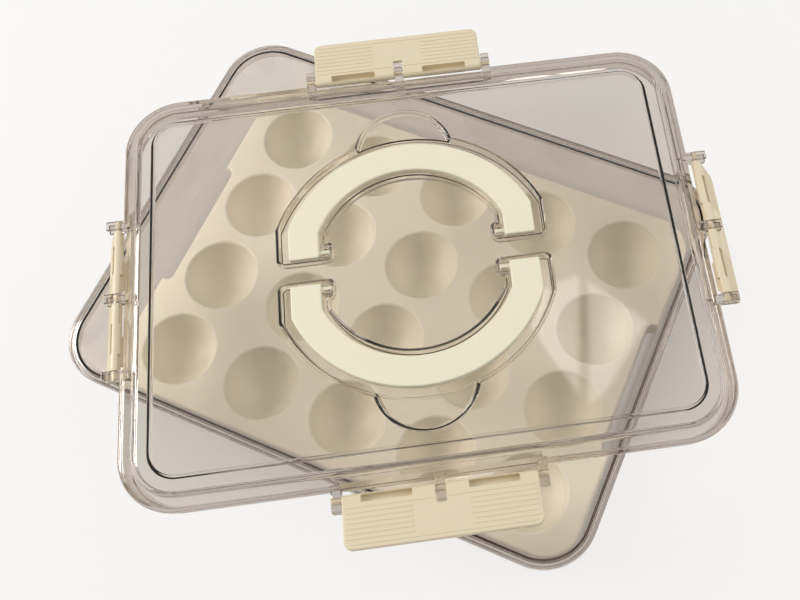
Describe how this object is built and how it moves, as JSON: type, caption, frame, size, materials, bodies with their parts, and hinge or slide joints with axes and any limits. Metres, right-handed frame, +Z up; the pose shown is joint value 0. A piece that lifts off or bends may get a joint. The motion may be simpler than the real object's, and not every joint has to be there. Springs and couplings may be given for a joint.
{
  "type": "egg storage container",
  "caption": "Clear rounded storage bin with a lift-out tray of egg seats, and a snap lid with hinged latches and folding carry handles, laid askew on the open bin.",
  "frame": {"origin": "centre of the bin's underside", "axes": "+X along the bin's length, +Y across it, +Z up"},
  "size_m": [0.3303, 0.3046, 0.0873],
  "materials": {
    "clear": "clear, polished",
    "cream": "moulded, satin",
    "tray": "moulded, satin"
  },
  "bodies": {
    "bin": {"bin": "clear"},
    "egg_tray": {"egg_tray": "tray"},
    "lid": {"lid": "clear"},
    "latch_front": {"latch_front": "cream"},
    "latch_back": {"latch_back": "cream"},
    "latch_left": {"latch_left": "cream"},
    "latch_right": {"latch_right": "cream"},
    "handle_front": {"handle_front": "cream"},
    "handle_back": {"handle_back": "cream"}
  },
  "joints": [
    {"name": "tray_lift", "type": "slide", "parent": "bin", "child": "egg_tray", "axis": [0, 0, 1], "range_m": [0, 0.035]},
    {"name": "lid_lift", "type": "slide", "parent": "bin", "child": "lid", "axis": [0, 0, 1], "range_m": [0, 0.12]},
    {"name": "latch_front_hinge", "type": "hinge", "parent": "lid", "child": "latch_front", "pos_m": [0.06979, -0.08882, 0.07437], "axis": [-0.8634, -0.5025, 0.0445], "range_deg": [-38, 130]},
    {"name": "latch_back_hinge", "type": "hinge", "parent": "lid", "child": "latch_back", "pos_m": [-0.04138, 0.10219, 0.07437], "axis": [0.8634, 0.5025, -0.0445], "range_deg": [-33, 134]},
    {"name": "latch_left_hinge", "type": "hinge", "parent": "lid", "child": "latch_left", "pos_m": [-0.11185, -0.06668, 0.08087], "axis": [-0.503, 0.8643, 0], "range_deg": [0, 196]},
    {"name": "latch_right_hinge", "type": "hinge", "parent": "lid", "child": "latch_right", "pos_m": [0.14027, 0.08005, 0.06787], "axis": [0.503, -0.8643, 0], "range_deg": [0, 196]},
    {"name": "handle_front_hinge", "type": "hinge", "parent": "lid", "child": "handle_front", "pos_m": [0.01911, -0.00145, 0.07756], "axis": [-0.8634, -0.5025, 0.0445], "range_deg": [0, 95]},
    {"name": "handle_back_hinge", "type": "hinge", "parent": "lid", "child": "handle_back", "pos_m": [0.00955, 0.01497, 0.07756], "axis": [0.8634, 0.5025, -0.0445], "range_deg": [0, 95]}
  ]
}
